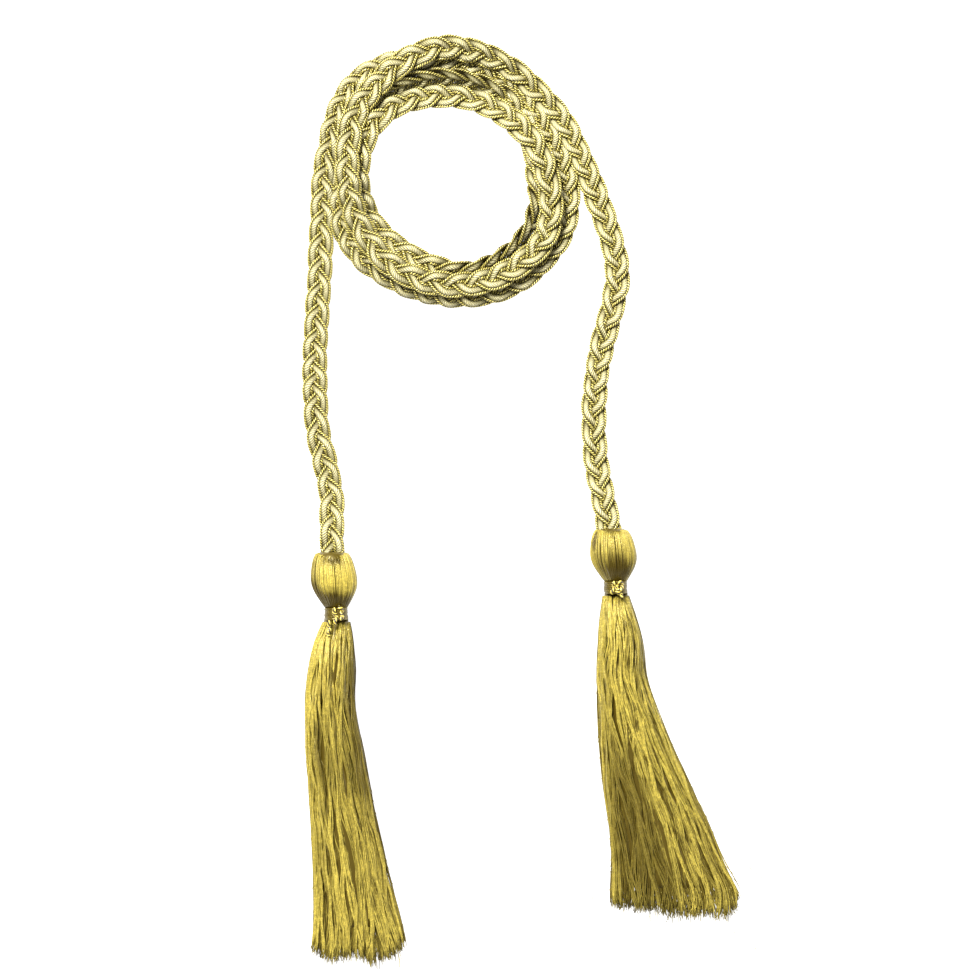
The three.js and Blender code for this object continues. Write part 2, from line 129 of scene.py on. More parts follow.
TURNS = table(
    Turn,
    (-10, 0.0542),
    (8, 0.053, 0.0032, 12),
    (20, 0.0538, 0.0035, 22),
    (32, 0.0566, 0.0036, 24),
    (46, 0.0601, 0.0036, 24),
    (60, 0.0604, 0.0036, 22),
    (75, 0.057, 0.0033, 14),
    (90, 0.0555, 0.0031, 8),
    (105, 0.053, 0.003, 8),
    (125, 0.0506, 0.0029, 10),
    (150, 0.0495),
    (180, 0.0515),
    (197, 0.0527),
    (215, 0.0512),
    (240, 0.0489, 0.0034, 18),
    (270, 0.0457, 0.004, 34),
    (300, 0.0449, 0.0038, 30),
    (330, 0.0474, 0.0032, 14),
    (345, 0.0469),
    (362, 0.0451),
    (375, 0.0454),
    (390, 0.0478),
    (405, 0.0496, 0.0036, -28),
    (420, 0.049, 0.0051, -58),
    (450, 0.0485, 0.0054, -64),
    (470, 0.0476, 0.0052, -60),
    (486, 0.0462, 0.0036, -28),
    (502, 0.0438),
    (522, 0.0402),
    (536, 0.0388, 0.0034, 25),
    (552, 0.0388, 0.0052, 58),
    (570, 0.0386, 0.0053, 60),
    (600, 0.0366, 0.0053, 60),
    (615, 0.0362, 0.005, 52),
    (630, 0.035, 0.0036, 28),
    (645, 0.0335, 0.0028, 4),
    (660, 0.0325),
    (675, 0.0332),
    (690, 0.0346, 0.0029),
    (706, 0.0364, 0.0046, -12),
    (722, 0.0381, 0.0076, -6),
    (745, 0.0404, 0.0082),
    (765, 0.0423, 0.007, 12),
    (785, 0.0415, 0.0044, 10),
    (805, 0.0405, 0.0029),
    (830, 0.0403, 0.0033),
    (850, 0.0403, 0.0062, 8),
    (870, 0.0417, 0.0083),
    (890, 0.043, 0.0084, -8),
    (905, 0.0445, 0.0083, -14),
    (925, 0.0469, 0.0082, -10),
    (945, 0.0451, 0.0082, -6),
    (965, 0.0429, 0.0081, -6),
    (990, 0.041, 0.0082, 8),
    (1020, 0.0404, 0.0082),
    (1050, 0.0401, 0.0086),
    (1066, 0.041, 0.0106),
    (1082, 0.0421, 0.013),
    (1097, 0.0443, 0.0134),
    (1110, 0.0479, 0.0118, -8),
    (1125, 0.0519, 0.009, -4),
    (1140, 0.0542, 0.0096, 6),
    (1155, 0.0577, 0.012, 4),
    (1170, 0.0603, 0.0104, -14),
    (1185, 0.0596, 0.0078, -22),
    (1200, 0.0582, 0.0054, -22),
    (1212, 0.0569, 0.0039, -12),
    (1225, 0.0572, 0.0029),
    (1242, 0.0582),
)

# The tassels' forms. x and y place the top of the head, lean is how far the neck lies to its right, and notch
# is how far down its threads part where the braid comes out, as a share of its length.
Tassel = namedtuple("Tassel", "x y lean head_length skirt_length spread notch outline hem shades head_shades")
# down is a share of the skirt's length, middle and half are shares of its spread
Row = namedtuple("Row", "down middle half")
# The skirt's uneven end: across runs from -1 to 1 over the skirt, reach is a share of its length
Hem = namedtuple("Hem", "across reach")
# A patch of painted shade or painted light on the threads: its middle and size across and down the skirt or
# head, as shares
Shade = namedtuple("Shade", "across down wide long amount")
LEFT_OUTLINE = table(
    Row,
    (0.0, 0.0, 0.13),
    (0.056, -0.025, 0.19),
    (0.13, -0.045, 0.23),
    (0.25, -0.06, 0.25),
    (0.4, -0.01, 0.29),
    (0.6, 0.08, 0.33),
    (0.8, 0.17, 0.395),
    (0.92, 0.215, 0.45),
    (1.0, 0.225, 0.5),
)
LEFT_HEM = table(
    Hem,
    (-1.0, 0.965),
    (-0.6, 1.0),
    (0.0, 0.99),
    (0.3, 1.01),
    (0.7, 0.985),
    (1.0, 0.955),
)
# painted shade and light on the left skirt, where its locks turn from or towards the light
LEFT_SHADES = table(
    Shade,
    (0.1, 0.44, 0.9, 0.12, -0.42),
    (0.9, 0.2, 0.3, 0.14, -1.1),
    (0.85, 0.42, 0.3, 0.16, -0.6),
    (0.8, 0.75, 0.25, 0.2, -0.3),
    (-0.5, 0.36, 0.22, 0.1, -0.8),
    (-0.8, 0.75, 0.2, 0.2, -0.45),
    (0.2, 0.66, 0.12, 0.12, -0.5),
    (-0.1, 0.06, 0.9, 0.07, 0.15),
    (-0.4, 0.9, 0.6, 0.12, 0.25),
    (-0.1, 0.75, 0.2, 0.25, 0.3),
)
# painted shade and light on the left head, darkest on its lower part, which turns from the light
LEFT_HEAD_SHADES = table(
    Shade,
    (-0.1, 0.93, 1.3, 0.18, -2.0),
    (-0.95, 0.65, 0.28, 0.25, -1.0),
    (-0.95, 0.22, 0.16, 0.15, -0.5),
    (0.2, 0.12, 0.45, 0.08, -0.5),
    (0.1, 0.45, 0.7, 0.3, 0.2),
)
RIGHT_OUTLINE = table(
    Row,
    (0.0, 0.005, 0.095),
    (0.077, 0.023, 0.14),
    (0.15, 0.04, 0.168),
    (0.26, 0.05, 0.19),
    (0.45, 0.148, 0.265),
    (0.57, 0.23, 0.318),
    (0.7, 0.322, 0.371),
    (0.82, 0.394, 0.42),
    (0.92, 0.455, 0.485),
    (1.0, 0.47, 0.49),
)
RIGHT_HEM = table(
    Hem,
    (-1.0, 0.965),
    (-0.5, 0.97),
    (0.0, 0.99),
    (0.6, 0.99),
    (0.85, 0.985),
    (1.0, 0.92),
)
# painted shade and light on the right skirt, where its locks turn from or towards the light
RIGHT_SHADES = table(
    Shade,
    (-0.5, 0.52, 0.35, 0.14, -0.45),
    (-0.25, 0.66, 0.2, 0.16, -0.7),
    (-0.8, 0.72, 0.4, 0.24, -0.6),
    (0.8, 0.84, 0.3, 0.12, -0.35),
    (-0.35, 0.86, 0.45, 0.18, -0.6),
    (0.8, 0.68, 0.25, 0.25, -0.2),
    (-0.1, 0.93, 0.12, 0.14, -0.5),
    (-0.8, 0.28, 0.2, 0.12, -0.3),
    (0.8, 0.2, 0.25, 0.1, -0.5),
    (0.15, 0.35, 0.3, 0.16, 0.4),
    (0.4, 0.62, 0.25, 0.2, 0.25),
    (0.95, 0.9, 0.2, 0.1, 0.2),
)
# painted shade and light on the right head, darkest low down where it turns from the light
RIGHT_HEAD_SHADES = table(
    Shade,
    (0.2, 0.85, 0.65, 0.3, -1.8),
    (-0.7, 0.75, 0.3, 0.35, -0.45),
    (-0.87, 0.25, 0.07, 0.18, -1.5),
    (0.1, 0.02, 0.5, 0.04, -0.6),
    (0.1, 0.4, 1.2, 0.4, -0.16),
)
TASSELS = {
    "left": Tassel(
        -0.0813, 0.0834, 0.0017, 0.0237, 0.145, 0.043, 0.18,
        LEFT_OUTLINE, LEFT_HEM, LEFT_SHADES, LEFT_HEAD_SHADES,
    ),
    "right": Tassel(
        0.0382, 0.0933, 0.0019, 0.0223, 0.139, 0.0568, 0.06,
        RIGHT_OUTLINE, RIGHT_HEM, RIGHT_SHADES, RIGHT_HEAD_SHADES,
    ),
}

# The heads' form: down is a share of the head's length, and half is a share of its width
Bulb = namedtuple("Bulb", "down half")
HEAD_PROFILE = table(
    Bulb,
    (0.0, 0.2),
    (0.02, 0.32),
    (0.08, 0.385),
    (0.22, 0.45),
    (0.45, 0.498),
    (0.6, 0.497),
    (0.73, 0.45),
    (0.86, 0.365),
    (0.96, 0.29),
    (1.06, 0.21),
)

# How thick the skirts lie: down is a share of the skirt's length, and high is a share of its height
Thickness = namedtuple("Thickness", "down high")
SKIRT_THICKNESS = table(
    Thickness,
    (0.0, 0.66),
    (0.1, 0.95),
    (0.25, 1.0),
    (0.5, 0.88),
    (0.75, 0.7),
    (1.0, 0.46),
)

# The skirts' locks, from the floor upwards: how many, the threads in each, how wide they lie as a share
# of the skirt's half, the shares of its height that they fill, and their tone from shade to light
Layer = namedtuple("Layer", "locks threads wide low high tone")
LAYERS = table(
    Layer,
    (26, 11, 0.28, 0.25, 0.6, 0.06),
    (38, 10, 0.07, 0.6, 0.84, 0.28),
    (28, 9, 0.045, 0.84, 0.98, 0.85),
)

# Short gold cords knotted at the necks: points are across and down from the top of the neck, in metres
KNOTS = {
    "left": [
        [(0.0, 0.0006), (-0.0006, 0.0025), (0.0006, 0.0044), (-0.0002, 0.0062), (-0.0004, 0.0078)],
        [(0.0012, 0.0002), (0.003, 0.0014), (0.0021, 0.003), (0.003, 0.0042), (0.0018, 0.0056)],
        [(-0.0022, 0.006), (-0.003, 0.0082), (-0.0023, 0.0096), (-0.0033, 0.0112), (-0.0027, 0.0127)],
    ],
    "right": [
        [(-0.0004, 0.0006), (-0.0009, 0.002), (-0.0006, 0.0032), (-0.0016, 0.0048), (-0.0018, 0.0058)],
        [
            (0.0006, 0.0012),
            (0.0022, 0.0009),
            (0.0028, 0.0026),
            (0.0019, 0.0042),
            (0.0005, 0.0038),
            (0.0007, 0.0022),
        ],
        [(0.0002, 0.0044), (0.0012, 0.0056), (0.0022, 0.0062), (0.0026, 0.0074)],
    ],
}

# Loose single threads beside the skirts: points are across and down from the neck, in metres
STRAYS = {
    "left": [
        [(-0.006, 0.1), (-0.012, 0.12), (-0.0155, 0.131), (-0.019, 0.139)],
        [(0.008, 0.11), (0.02, 0.13), (0.026, 0.141), (0.027, 0.149)],
    ],
    "right": [
        [(-0.001, 0.08), (-0.004, 0.1), (-0.0075, 0.115), (-0.01, 0.132)],
        [(0.0005, 0.085), (-0.001, 0.1), (-0.003, 0.112), (-0.0035, 0.122)],
        [(0.03, 0.11), (0.044, 0.128), (0.049, 0.142), (0.058, 0.15), (0.061, 0.152)],
        [(0.03, 0.08), (0.048, 0.106), (0.058, 0.117), (0.064, 0.122)],
        [(0.01, 0.11), (0.014, 0.13), (0.0155, 0.142), (0.016, 0.148)],
    ],
}


# Properties
def length_property(name, description, default):
    return number_property(name, description, default, unit="LENGTH", subtype="DISTANCE")


def colour_property(name, description, default):
    return bpy.props.FloatVectorProperty(
        name=name, description=description, default=default, size=3, min=0.0, max=1.0, subtype="COLOR"
    )


def number_property(name, description, default, **more):
    return bpy.props.FloatProperty(name=name, description=description, default=default, min=0.0, **more)


def count_property(name, description, default, least):
    return bpy.props.IntProperty(name=name, description=description, default=default, min=least)


class BraidSettings(bpy.types.PropertyGroup):
    width: length_property("Width", "Width of the flat braid", 0.0112)
    sway: length_property("Sway", "How far a strand swings to each side of the middle", 0.00355)
    rise: length_property("Rise", "How far a strand rises and dives in the plait", 0.00145)
    period: length_property("Period", "Length of braid in which a strand crosses over and back", 0.0304)
    silk_width: length_property("Silk width", "Width of the silk cord of a strand", 0.0029)
    silk_height: length_property("Silk height", "Height of the silk cord of a strand", 0.0022)
    gimp_radius: length_property("Gimp radius", "Radius of one gold gimp cord", 0.00065)
    gimp_lane: length_property("Gimp lane", "How far a gimp cord lies from its strand's middle", 0.00175)
    gimp_pitch: length_property("Gimp pitch", "Length of one full twist of the gimp", 0.0023)
    silk: colour_property("Silk", "Colour of the silk cords", (1.0, 0.965, 0.72))
    gold: colour_property("Gold", "Colour of the gold gimp", (1.0, 0.85, 0.2))


class TasselSettings(bpy.types.PropertyGroup):
    head_width: length_property("Head width", "Width of a tassel's head", 0.0196)
    head_height: length_property("Head height", "Height of a tassel's head", 0.0164)
    neck_length: length_property("Neck length", "Length of the bound neck", 0.0069)
    neck_width: length_property("Neck width", "Width of the bound neck", 0.0082)
    skirt_height: length_property("Skirt height", "How high a skirt lies", 0.013)
    thread_radius: length_property("Thread radius", "Radius of one thread of the skirt", 0.00027)
    frays: count_property("Frays", "Loose ends round a skirt", 110, 0)
    head_threads: count_property("Head threads", "Threads round a head", 230, 16)
    thread: colour_property("Thread", "Colour of the tassels' threads", (0.62, 0.49, 0.085))
    thread_shade: colour_property("Thread shade", "Colour of threads in shade", (0.06, 0.04, 0.003))


class StageSettings(bpy.types.PropertyGroup):
    floor: colour_property("Floor", "Colour of the floor", (0.42, 0.42, 0.42))
    key: number_property("Key light", "Power of the main light", 236.0, unit="POWER")
    fill: number_property("Fill light", "Power of the light from the other side", 17.0, unit="POWER")
    floor_glow: number_property("Floor glow", "Light that shines up through the floor", 1.0)
    surround: number_property("Surround", "Strength of the even light from all round", 0.28)


# Curves and tables
def column(rows, name):
    return np.array([getattr(row, name) for row in rows], float)


def between(rows, value, at):
    """Smooth values between the rows of a table, at places given in its first column."""
    places, values = column(rows, rows[0]._fields[0]), column(rows, value)
    last = len(rows) - 1
    at = np.asarray(at, float)
    low = np.maximum(np.arange(last + 1) - 1, 0)
    high = np.minimum(np.arange(last + 1) + 1, last)
    slopes = (values[high] - values[low]) / (places[high] - places[low])
    i = np.clip(np.searchsorted(places, at, side="left") - 1, 0, last - 1)
    span = places[i + 1] - places[i]
    t = np.clip((at - places[i]) / span, 0, 1)
    rise = values[i + 1] - values[i]
    start, end = slopes[i] * span, slopes[i + 1] * span
    return values[i] + t * start + t**2 * (3 * rise - 2 * start - end) + t**3 * (start + end - 2 * rise)


def smooth_curve(points, steps):
    """A line through the points, with as many steps between each two."""
    points = np.asarray(points, float)
    points = np.vstack([2 * points[0] - points[1], points, 2 * points[-1] - points[-2]])
    t = (np.arange(steps) / steps)[None, :, None]
    a, b, c, d = (points[i : len(points) - 3 + i, None, :] for i in range(4))
    bends = 2 * b + (c - a) * t + (2 * a - 5 * b + 4 * c - d) * t**2 + (3 * b - a - 3 * c + d) * t**3
    return np.vstack([bends.reshape(-1, points.shape[1]) / 2, points[-2]])


def unit(vectors):
    return vectors / np.maximum(np.linalg.norm(vectors, axis=-1, keepdims=True), 1e-12)


def waves(seed, at, longest, count=5):
    """Smooth unevenness from about -1 to 1, which comes out the same each time."""
    random = np.random.default_rng(seed)
    total = np.zeros_like(at, float)
    for i in range(count):
        length = longest / (1 + i * random.uniform(0.6, 1.0))
        total += np.sin(2 * np.pi * (at / length + random.uniform())) * random.uniform(0.5, 1.0)
    return total / count**0.5


def coil_points():
    first, last = TURNS[0].bearing, TURNS[-1].bearing
    steps = round((last - first) / 360 * POINTS_EACH_TURN)
    bearings = first + (last - first) * np.arange(steps + 1) / steps
    radius = between(TURNS, "radius", bearings)
    height = between(TURNS, "height", bearings)
    lean = between(TURNS, "lean", bearings)
    angle = np.radians(180 - bearings)
    x = COIL_CENTRE[0] + radius * np.cos(angle)
    y = COIL_CENTRE[1] + radius * np.sin(angle)
    return [Point(*values) for values in zip(x, y, height, lean)]


class Route:
    """The braid's middle line, with the directions across and above it, at any distance along it."""

    STEPS = 16

    def __init__(self, points):
        line = smooth_curve(points, self.STEPS)
        self.middle = line[:, :3]
        lean = np.radians(line[:, 3:4])
        self.edge_on = np.abs(np.sin(lean[:, 0]))
        steps = np.linalg.norm(np.diff(self.middle, axis=0), axis=1)
        self.distance = np.concatenate([[0.0], np.cumsum(steps)])
        self.length = self.distance[-1]
        ahead = unit(np.gradient(self.middle, self.distance, axis=0))
        level = unit(np.stack([-ahead[:, 1], ahead[:, 0], np.zeros(len(ahead))], axis=1))
        upright = np.cross(ahead, level)
        self.side = level * np.cos(lean) - upright * np.sin(lean)
        self.top = np.cross(ahead, self.side)

    def read(self, table, along):
        return np.stack([np.interp(along, self.distance, table[:, i]) for i in range(3)], axis=1)

    def at(self, along, across, above):
        side, top = self.read(self.side, along), self.read(self.top, along)
        return self.read(self.middle, along) + side * across[:, None] + top * above[:, None]


ROUTE = Route(LEFT_LEG + coil_points() + RIGHT_LEG)


# Meshes
def show(made):
    bpy.context.scene.collection.objects.link(made)


class Skin:
    """Gathers the tubes and sheets of one piece and makes them one mesh."""

    def __init__(self):
        self.points, self.faces, self.maps, self.tones = [], [], [], []
        self.count = 0

    def add(self, points, blocks, tones):
        """blocks holds pairs of faces and of their corners' places on the map."""
        for faces, places in blocks:
            self.faces.append(np.asarray(faces) + self.count)
            self.maps.append(np.asarray(places, float))
        self.points.append(points)
        self.tones.append(np.broadcast_to(tones, len(points)))
        self.count += len(points)

    def tube(self, line, outline, radius, tones=0.0, twist=0.0, flat=None):
        """A closed tube along a line. outline holds the section's radii round it, as shares, radius its size
        at each point of the line, twist the turn of the section there, and flat the way its width lies."""
        line = np.asarray(line, float)
        rings, sides = len(line), len(outline)
        steps = np.linalg.norm(np.diff(line, axis=0), axis=1)
        along = np.concatenate([[0.0], np.cumsum(steps)])
        ahead = unit(np.gradient(line, axis=0))
        if flat is None:
            top = unit(np.array([0.0, 0.0, 1.0]) - ahead * ahead[:, 2:3])
        else:
            top = unit(np.cross(flat, ahead))
        side = np.cross(ahead, top)
        angle = 2 * np.pi * np.arange(sides) / sides + np.broadcast_to(twist, rings)[:, None]
        reach = np.asarray(outline)[None, :] * np.broadcast_to(radius, rings)[:, None]
        offset = side[:, None] * (reach * np.cos(angle))[:, :, None]
        offset = offset + top[:, None] * (reach * np.sin(angle))[:, :, None]
        points = (line[:, None] + offset).reshape(-1, 3)
        i, j = np.meshgrid(np.arange(rings - 1), np.arange(sides), indexing="ij")
        near, far = i * sides, (i + 1) * sides
        k = (j + 1) % sides
        quads = np.stack([near + j, far + j, far + k, near + k], axis=-1).reshape(-1, 4)
        round_it = np.stack([j, j, j + 1, j + 1], axis=-1) / sides
        down_it = np.stack([along[i], along[i + 1], along[i + 1], along[i]], axis=-1)
        places = np.stack([round_it, down_it], axis=-1).reshape(-1, 4, 2)
        ends = np.array([np.arange(sides), (rings - 1) * sides + np.arange(sides)[::-1]])
        end_places = np.zeros((2, sides, 2))
        end_places[1, :, 1] = along[-1]
        tones = np.repeat(np.broadcast_to(tones, rings), sides)
        self.add(points, [(quads, places), (ends, end_places)], tones)

    def mesh(self, name):
        mesh = bpy.data.meshes.new(name)
        points = np.concatenate(self.points)
        corners = np.concatenate([block.ravel() for block in self.faces])
        sizes = np.concatenate([np.full(len(block), block.shape[1]) for block in self.faces])
        starts = np.concatenate([[0], np.cumsum(sizes)[:-1]])
        mesh.vertices.add(len(points))
        mesh.vertices.foreach_set("co", points.ravel())
        mesh.loops.add(len(corners))
        mesh.polygons.add(len(sizes))
        mesh.polygons.foreach_set("loop_start", starts.astype(np.int32))
        mesh.polygons.foreach_set("vertices", corners.astype(np.int32))
        places = np.concatenate([block.reshape(-1, 2) for block in self.maps])
        mesh.uv_layers.new(name="cord_map").uv.foreach_set("vector", places.ravel())
        tones = mesh.attributes.new("tone", "FLOAT", "POINT")
        tones.data.foreach_set("value", np.concatenate(self.tones).astype(np.float32))
        mesh.update(calc_edges=True)
        mesh.validate()
        mesh.shade_smooth()
        return mesh

    def piece(self, name, paint, slot):
        """The finished piece, which rides on the part's one body."""
        made = bpy.data.objects.new(name, self.mesh(name))
        made.data.materials.append(paint)
        show(made)
        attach(made, BODY)
        return made


def circle(sides):
    return np.ones(sides)


def oval(sides, height):
    """The section of a cord of width 1 and a given height."""
    angle = 2 * np.pi * np.arange(sides) / sides
    return 1 / np.hypot(np.cos(angle), np.sin(angle) / height)


def two_ply(sides, pinch):
    """The section of two threads twisted together, in at its waist by pinch."""
    angle = 2 * np.pi * np.arange(sides) / sides
    return 1 - pinch * (1 - np.abs(np.cos(angle)))


# Materials
class Paint:
    """A procedural material under construction."""

    def __init__(self, name):
        self.material = bpy.data.materials.new(name)
        self.material.use_nodes = True
        self.nodes = self.material.node_tree.nodes
        self.links = self.material.node_tree.links
        self.shader = self.nodes["Principled BSDF"]

    def node(self, kind, inputs=None, **settings):
        made = self.nodes.new(kind)
        for name, value in settings.items():
            setattr(made, name, value)
        for name, value in (inputs or {}).items():
            self.put(made.inputs[name], value)
        return made

    def put(self, socket, value):
        if isinstance(value, bpy.types.NodeSocket):
            self.links.new(value, socket)
        else:
            socket.default_value = value

    def surface(self, **values):
        for name, value in values.items():
            self.put(self.shader.inputs[name.replace("_", " ")], value)

    def tone(self):
        return self.node("ShaderNodeAttribute", attribute_name="tone").outputs["Fac"]

    def maths(self, operation, *values, clamp=False):
        made = self.node("ShaderNodeMath", operation=operation, use_clamp=clamp)
        for socket, value in zip(made.inputs, values):
            self.put(socket, value)
        return made.outputs[0]

    def mix(self, share, first, second):
        made = self.node("ShaderNodeMix", data_type="RGBA")
        self.put(made.inputs["Factor"], share)
        self.put(made.inputs[6], first)
        self.put(made.inputs[7], second)
        return made.outputs[2]

    def shaded(self, shade, light, middle, dark):
        """From light over a fuller colour to dark, as shade runs from 0 to 1."""
        near = self.mix(self.maths("MULTIPLY", shade, 2.0, clamp=True), light, middle)
        return self.mix(self.maths("MULTIPLY_ADD", shade, 2.0, -1.0, clamp=True), near, dark)

    def noise(self, scale, detail=2.0):
        place = self.node("ShaderNodeTexCoord").outputs["Object"]
        inputs = {"Vector": place, "Scale": scale, "Detail": detail}
        return self.node("ShaderNodeTexNoise", inputs).outputs["Fac"]

    def round_wave(self):
        """From 0 to 1 and back, twice round a cord."""
        round_it, _ = self.map_parts()
        angle = self.maths("MULTIPLY", round_it, 2 * np.pi)
        return self.maths("ABSOLUTE", self.maths("COSINE", angle))

    def map_parts(self):
        """The places round a cord, from 0 to 1, and along it, in metres."""
        found = self.node("ShaderNodeUVMap", uv_map="cord_map").outputs[0]
        parts = self.node("ShaderNodeSeparateXYZ", {"Vector": found})
        return parts.outputs["X"], parts.outputs["Y"]

    def ridges(self, plies, pitch):
        """Slanting ridges, as of as many plies twisted once in each pitch."""
        round_it, down_it = self.map_parts()
        turns = self.maths("MULTIPLY_ADD", down_it, 1.0 / pitch, round_it)
        wave = self.maths("SINE", self.maths("MULTIPLY", turns, 2 * np.pi * plies))
        return self.maths("MULTIPLY_ADD", wave, 0.5, 0.5)

    def bump(self, height, distance, strength):
        made = self.node("ShaderNodeBump", {"Height": height, "Distance": distance, "Strength": strength})
        self.put(self.shader.inputs["Normal"], made.outputs["Normal"])


def rgba(colour, share=1.0):
    return (colour[0] * share, colour[1] * share, colour[2] * share, 1.0)


SILK_PLIES = 5  # ridges round a silk cord
SILK_PITCH = 0.0052  # length of one full twist of it
SILK_YELLOWED = (0.72, 0.64, 0.28, 1.0)
# painted shade in the grooves of the silk's twist
SILK_GROOVE_SHADE = (0.27, 0.21, 0.04, 1.0)
SILK_HALF_SHADE = (0.39, 0.35, 0.165, 1.0)
SILK_SHADE = (0.03, 0.021, 0.0015, 1.0)
SILK_SHEEN = (1.0, 0.93, 0.6, 1.0)
# painted shade in the hollows between the twisted plies
GOLD_HOLLOW_SHADE = (0.035, 0.022, 0.001, 1.0)
GOLD_SHADE = (0.05, 0.034, 0.003, 1.0)
GOLD_WIRE = 0.00035  # length of one turn of the fine wire round the gimp
THREAD_PITCH = 0.0022  # length of one full twist of a tassel's thread
THREAD_SHEEN = (1.0, 0.86, 0.42, 1.0)


def silk_paint(settings):
    """Loosely twisted ivory silk, with painted shade in its grooves, on the cords' sides and where strands
    dive under others.
    """
    paint = Paint("ivory_silk")
    ridges = paint.ridges(SILK_PLIES, SILK_PITCH)
    patches = paint.noise(260.0)
    fibres = paint.maths("MULTIPLY_ADD", paint.noise(1100.0, 4.0), 3.0, -1.0, clamp=True)
    fluff = paint.maths("MULTIPLY_ADD", patches, 0.35, paint.maths("MULTIPLY", fibres, 0.65))
    pale = paint.mix(fluff, SILK_YELLOWED, rgba(settings.silk))
    # painted shade in the grooves of the twist
    grooved = paint.mix(paint.maths("POWER", ridges, 0.6), SILK_GROOVE_SHADE, pale)
    # painted shade on the cord's sides, where it turns away from the light
    lit = paint.maths("SUBTRACT", 1.0, paint.maths("POWER", paint.round_wave(), 2.4))
    # painted shade from the tone, where the strand dives under others or lies on edge
    uncovered = paint.maths("SUBTRACT", 1.0, paint.maths("POWER", paint.tone(), 1.1))
    shade = paint.maths("SUBTRACT", 1.0, paint.maths("MULTIPLY", lit, uncovered))
    deep = paint.shaded(shade, grooved, SILK_HALF_SHADE, SILK_SHADE)
    paint.surface(Base_Color=deep, Roughness=0.35, Specular_IOR_Level=0.4)
    paint.surface(Specular_Tint=SILK_SHEEN)
    paint.bump(paint.maths("MULTIPLY_ADD", fibres, 0.6, ridges), 0.0004, 0.9)
    return paint.material


def twisted_paint(name, colour, metallic):
    """Two cords twisted together, with painted shade in the hollows between them and by the piece's tone."""
    paint = Paint(name)
    gold = paint.mix(paint.noise(160.0), rgba(colour, 0.8), rgba(colour))
    # painted shade in the hollows between the plies
    beads = paint.mix(paint.maths("POWER", paint.round_wave(), 3.4), GOLD_HOLLOW_SHADE, gold)
    # painted shade by the piece's tone, where the gimp dives under the strands
    deep = paint.mix(paint.maths("MULTIPLY", paint.tone(), 0.85), beads, GOLD_SHADE)
    paint.surface(Base_Color=deep, Metallic=metallic, Roughness=0.28, Specular_IOR_Level=0.8)
    paint.bump(paint.ridges(1, GOLD_WIRE), 0.00006, 0.3)
    return paint.material


def thread_paint(settings):
    """Lustrous tassel thread. A thread's tone runs from deep shade to full light."""
    if "lustrous_thread" in bpy.data.materials:
        return bpy.data.materials["lustrous_thread"]
    paint = Paint("lustrous_thread")
    ridges = paint.ridges(2, THREAD_PITCH)
    # fine painted sparkle: noise that lightens and darkens the thread, standing in for glints on its fibres
    painted_sparkle = paint.maths("MULTIPLY_ADD", paint.noise(800.0, 3.0), 2.4, -0.7, clamp=True)
    bright = paint.mix(painted_sparkle, rgba(settings.thread, 0.5), rgba(settings.thread, 1.2))
    # painted shade in the grooves of the thread's twist
    twisted = paint.mix(paint.maths("POWER", ridges, 0.4), rgba(settings.thread, 0.45), bright)
    toned = paint.mix(paint.tone(), rgba(settings.thread_shade), twisted)
    paint.surface(Base_Color=toned, Roughness=0.3, Specular_IOR_Level=0.8)
    paint.surface(Specular_Tint=THREAD_SHEEN)
    paint.bump(ridges, 0.0001, 0.5)
    return paint.material


# The braid
STRANDS = 3
SILK_STEP = 0.0009  # length of one step along the silk
LANE_ROLL = 300.0  # how far ahead in the plait a strand's inner edge dives, in radians for each metre
HEART = 0.005  # width of a ribbon painted in full shade inside the plait, which the strands cover
HEART_FLATNESS = 0.2  # its height as a share of its width
LOOSENESS = 0.26  # how far the plait runs ahead or behind here and there, in radians
LOOSE_WAVE = 0.19  # the length of one such stretch
BULGE = 0.0001  # how far a strand's middle stands above its edges
REST = 0.56  # how high a cord's middle lies at least above the floor, as a share of its height
DWELL = 0.1  # how much longer a strand keeps to the braid's edges than in a plain wave
EDGE_SHADE = 0.3  # how much painted shade the braid takes where it lies on edge
SHADE_STEEPNESS = 1.8  # how fast the painted shade of the plait grows from its edges inwards
GIMP_STEPS = 6  # steps along the gimp in each of its twists
GIMP_PINCH = 0.36  # how deep its waist is, as a share of its radius
GIMP_METAL = 0.25  # how metallic it looks, from 0 to 1


def plait_turn(settings, along, strand):
    """How far round its figure of eight a strand is. The plait is a little looser here and there."""
    uneven = LOOSENESS * waves(11, along, LOOSE_WAVE) + 0.06 * waves(12, along, 0.05)
    return 2 * np.pi * (along / settings.period + strand / STRANDS) + uneven


def lane_line(settings, strand, lane, step, width, height, bulge=0.0):
    """The line of one cord that lies in a lane of a strand, and the painted shade it takes there, from 0 to
    1.
    """
    along = np.arange(0.0, ROUTE.length, step)
    turn = plait_turn(settings, along, strand)
    sway = settings.sway * (1 + 0.06 * waves(23 + strand, along, 0.09))
    slope = settings.sway * 2 * np.pi / settings.period * (np.cos(turn) + 3 * DWELL * np.cos(3 * turn))
    square = 1 / np.sqrt(1 + slope**2)
    dive = np.sin(2 * (turn + LANE_ROLL * lane * np.cos(turn)))
    across = sway * (np.sin(turn) + DWELL * np.sin(3 * turn)) + lane * square
    above = -(settings.rise + bulge) * dive
    line = ROUTE.at(along - lane * slope * square, across, above)
    inward = 1 - np.abs(across) / (settings.width / 2)
    # painted shade where the cord dives under the others, fading out towards the plait's edges
    deep = np.clip(0.5 + 0.5 * dive, 0, 1) * np.clip(inward * SHADE_STEEPNESS, 0, 1)
    edge_on = np.interp(along, ROUTE.distance, ROUTE.edge_on)
    line[:, 2] = np.maximum(line[:, 2], REST * (height + (width - height) * edge_on))
    # more painted shade where the braid lies on edge
    return line, np.clip(deep + EDGE_SHADE * edge_on, 0, 1)


def twist_of(line, pitch):
    steps = np.linalg.norm(np.diff(line, axis=0), axis=1)
    return 2 * np.pi * np.concatenate([[0.0], np.cumsum(steps)]) / pitch


